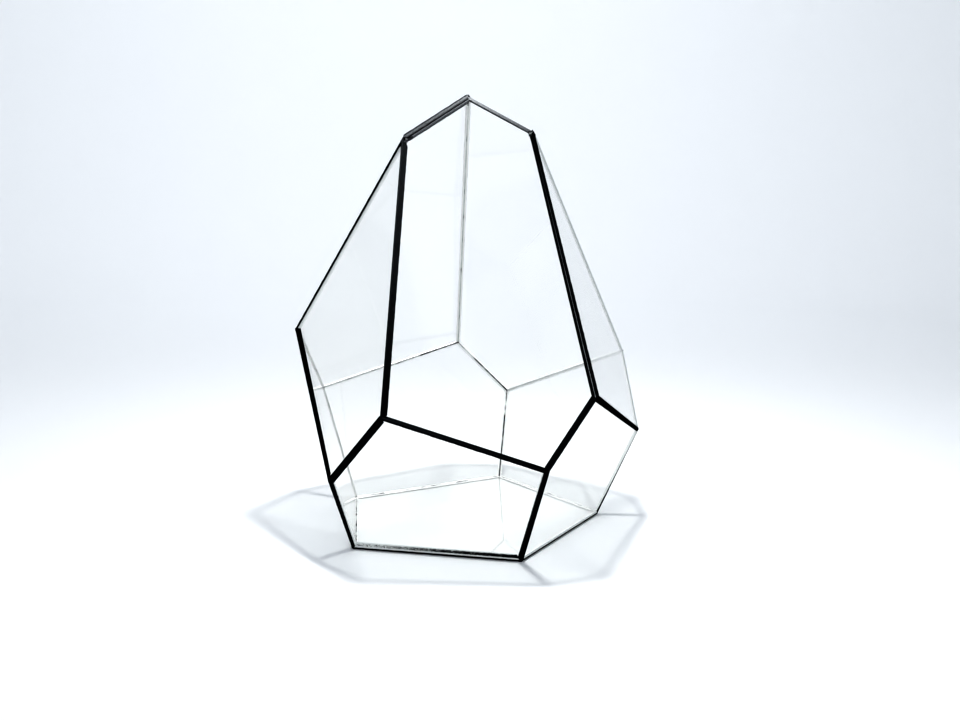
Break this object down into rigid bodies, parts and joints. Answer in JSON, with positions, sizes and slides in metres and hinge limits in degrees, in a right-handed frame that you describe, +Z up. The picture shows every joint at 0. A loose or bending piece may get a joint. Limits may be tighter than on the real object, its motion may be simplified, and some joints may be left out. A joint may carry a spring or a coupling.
{
  "type": "geometric glass terrarium",
  "caption": "Faceted open-fronted terrarium of clear glass panes, edged with copper foil and joined by black soldered seams.",
  "frame": {"origin": "middle of the outline in plan, on the plane of the base seams' flat undersides, where the terrarium stands", "axes": "+Z up, -Y out of the open side, +X to the right of a person who looks in through it"},
  "size_m": [0.2812, 0.2736, 0.3376],
  "materials": {
    "clear_glass": "clear 3 mm float glass, almost colourless, polished faces, square-cut edges",
    "copper_foil": "silver-backed copper foil tape, satin, seen through the glass as a pale line",
    "black_solder": "tin solder blackened with patina, waxed, satin, hand-run with slight ripples"
  },
  "bodies": {
    "root": {"foil_base": "copper_foil", "foil_lower_back": "copper_foil", "foil_lower_back_right": "copper_foil", "foil_lower_front": "copper_foil", "foil_lower_front_right": "copper_foil", "foil_lower_left": "copper_foil", "foil_upper_back_left": "copper_foil", "foil_upper_back_right": "copper_foil", "foil_upper_left": "copper_foil", "foil_upper_right": "copper_foil", "pane_base": "clear_glass", "pane_lower_back": "clear_glass", "pane_lower_back_right": "clear_glass", "pane_lower_front": "clear_glass", "pane_lower_front_right": "clear_glass", "pane_lower_left": "clear_glass", "pane_upper_back_left": "clear_glass", "pane_upper_back_right": "clear_glass", "pane_upper_left": "clear_glass", "pane_upper_right": "clear_glass", "rim_lower_front": "black_solder", "rim_lower_front_right": "black_solder", "rim_upper_back_left": "black_solder", "rim_upper_back_right": "black_solder", "rim_upper_left": "black_solder", "rim_upper_right": "black_solder", "seam_base_lower_back": "black_solder", "seam_base_lower_back_right": "black_solder", "seam_base_lower_front": "black_solder", "seam_base_lower_front_right": "black_solder", "seam_base_lower_left": "black_solder", "seam_lower_back_lower_left": "black_solder", "seam_lower_back_right_lower_back": "black_solder", "seam_lower_back_right_upper_back_right": "black_solder", "seam_lower_back_right_upper_right": "black_solder", "seam_lower_back_upper_back_left": "black_solder", "seam_lower_back_upper_back_right": "black_solder", "seam_lower_front_lower_front_right": "black_solder", "seam_lower_front_lower_left": "black_solder", "seam_lower_front_right_lower_back_right": "black_solder", "seam_lower_front_right_upper_right": "black_solder", "seam_lower_front_upper_left": "black_solder", "seam_lower_left_upper_back_left": "black_solder", "seam_lower_left_upper_left": "black_solder", "seam_upper_back_left_upper_left": "black_solder", "seam_upper_back_right_upper_back_left": "black_solder", "seam_upper_right_upper_back_right": "black_solder"}
  },
  "joints": []
}
